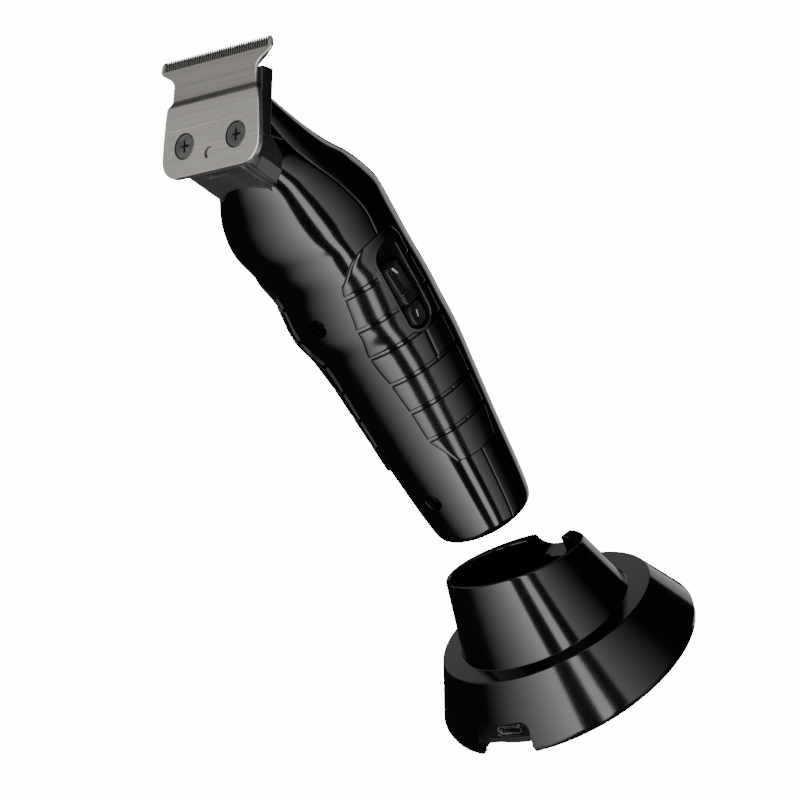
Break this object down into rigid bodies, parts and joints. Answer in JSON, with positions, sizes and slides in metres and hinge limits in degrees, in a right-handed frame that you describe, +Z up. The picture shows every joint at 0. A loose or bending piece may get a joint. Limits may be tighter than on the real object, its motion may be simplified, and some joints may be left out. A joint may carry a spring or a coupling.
{
  "type": "hair clipper",
  "caption": "Cordless T-blade hair clipper with segmented side grips, held above its round charging stand, with working switch, button, cutter drive and sprung contacts.",
  "frame": {"origin": "middle of the stand's rubber base pad, on the surface it stands on", "axes": "+Z up along the clipper; -Y the belly side that the blade plate faces; +X the side with the switches"},
  "size_m": [0.0824, 0.0812, 0.2174],
  "materials": {
    "gloss_black_shell": "polished black ABS",
    "satin_black_grip": "satin black moulding",
    "black_nylon": "fine-textured black nylon",
    "brushed_blade_steel": "brushed along the comb",
    "cutter_steel": "ground",
    "dark_screw_steel": "black zinc",
    "bright_steel": "nickel plated",
    "gold_contact": "gold flash",
    "base_rubber": "matt anti-slip",
    "ballast_steel": "raw",
    "green_board": "solder mask",
    "cell_wrap": "shrink film",
    "bronze_bush": "sintered",
    "copper_rotor": "wound",
    "white_nylon": "low-friction acetal"
  },
  "bodies": {
    "stand": {"stand_shell": "gloss_black_shell", "rubber_base_pad": "base_rubber", "stand_base_plate": "black_nylon", "stand_screws": "dark_screw_steel", "stand_weight": "ballast_steel", "pin_holder": "black_nylon", "pin_spring_left": "bright_steel", "pin_spring_right": "bright_steel", "charge_board": "green_board", "usb_socket": "bright_steel", "usb_tongue": "black_nylon"},
    "contact_pin_left": {"contact_pin_left": "gold_contact"},
    "contact_pin_right": {"contact_pin_right": "gold_contact"},
    "clipper": {"front_housing": "gloss_black_shell", "rear_housing": "gloss_black_shell", "grip_plate_left": "satin_black_grip", "grip_plate_right": "satin_black_grip", "contact_carrier": "black_nylon", "charging_contacts": "gold_contact", "case_screws": "dark_screw_steel", "switch_bezel": "satin_black_grip", "control_board": "green_board", "power_switch": "black_nylon", "speed_switch": "bright_steel", "battery_cell": "cell_wrap", "battery_cradle": "black_nylon", "motor_can": "bright_steel", "motor_end_bell": "black_nylon", "motor_mount": "black_nylon", "shaft_bush": "bronze_bush", "fixed_blade": "brushed_blade_steel", "blade_bracket": "black_nylon", "blade_screws": "dark_screw_steel", "cutter_spring": "bright_steel"},
    "power_slider": {"power_slider": "satin_black_grip"},
    "speed_button": {"speed_button": "satin_black_grip"},
    "motor_rotor": {"rotor_core": "copper_rotor", "motor_shaft": "bright_steel", "eccentric_cam": "white_nylon"},
    "cutter": {"cutter_blade": "cutter_steel", "cutter_yoke": "black_nylon"}
  },
  "joints": [
    {"name": "dock_lift", "type": "slide", "parent": "stand", "child": "clipper", "axis": [0, 0, 1], "range_m": [-0.046, 0.04]},
    {"name": "power_slide", "type": "slide", "parent": "clipper", "child": "power_slider", "axis": [0, 0, 1], "range_m": [0, 0.004]},
    {"name": "speed_press", "type": "slide", "parent": "clipper", "child": "speed_button", "axis": [-1, 0, 0], "range_m": [0, 0.0006], "stiffness_N_per_m": 800, "springref_m": -0.0004},
    {"name": "motor_spin", "type": "hinge", "parent": "clipper", "child": "motor_rotor", "pos_m": [0, -0.0075, 0.17], "axis": [0, 0, 1], "continuous": true},
    {"name": "cutter_stroke", "type": "slide", "parent": "clipper", "child": "cutter", "axis": [1, 0, 0], "range_m": [-0.0012, 0.0012]},
    {"name": "pin_left_press", "type": "slide", "parent": "stand", "child": "contact_pin_left", "axis": [0, 0, -1], "range_m": [0, 0.0012], "stiffness_N_per_m": 300, "springref_m": -0.0005, "deforming": ["pin_spring_left"]},
    {"name": "pin_right_press", "type": "slide", "parent": "stand", "child": "contact_pin_right", "axis": [0, 0, -1], "range_m": [0, 0.0012], "stiffness_N_per_m": 300, "springref_m": -0.0005, "deforming": ["pin_spring_right"]}
  ]
}
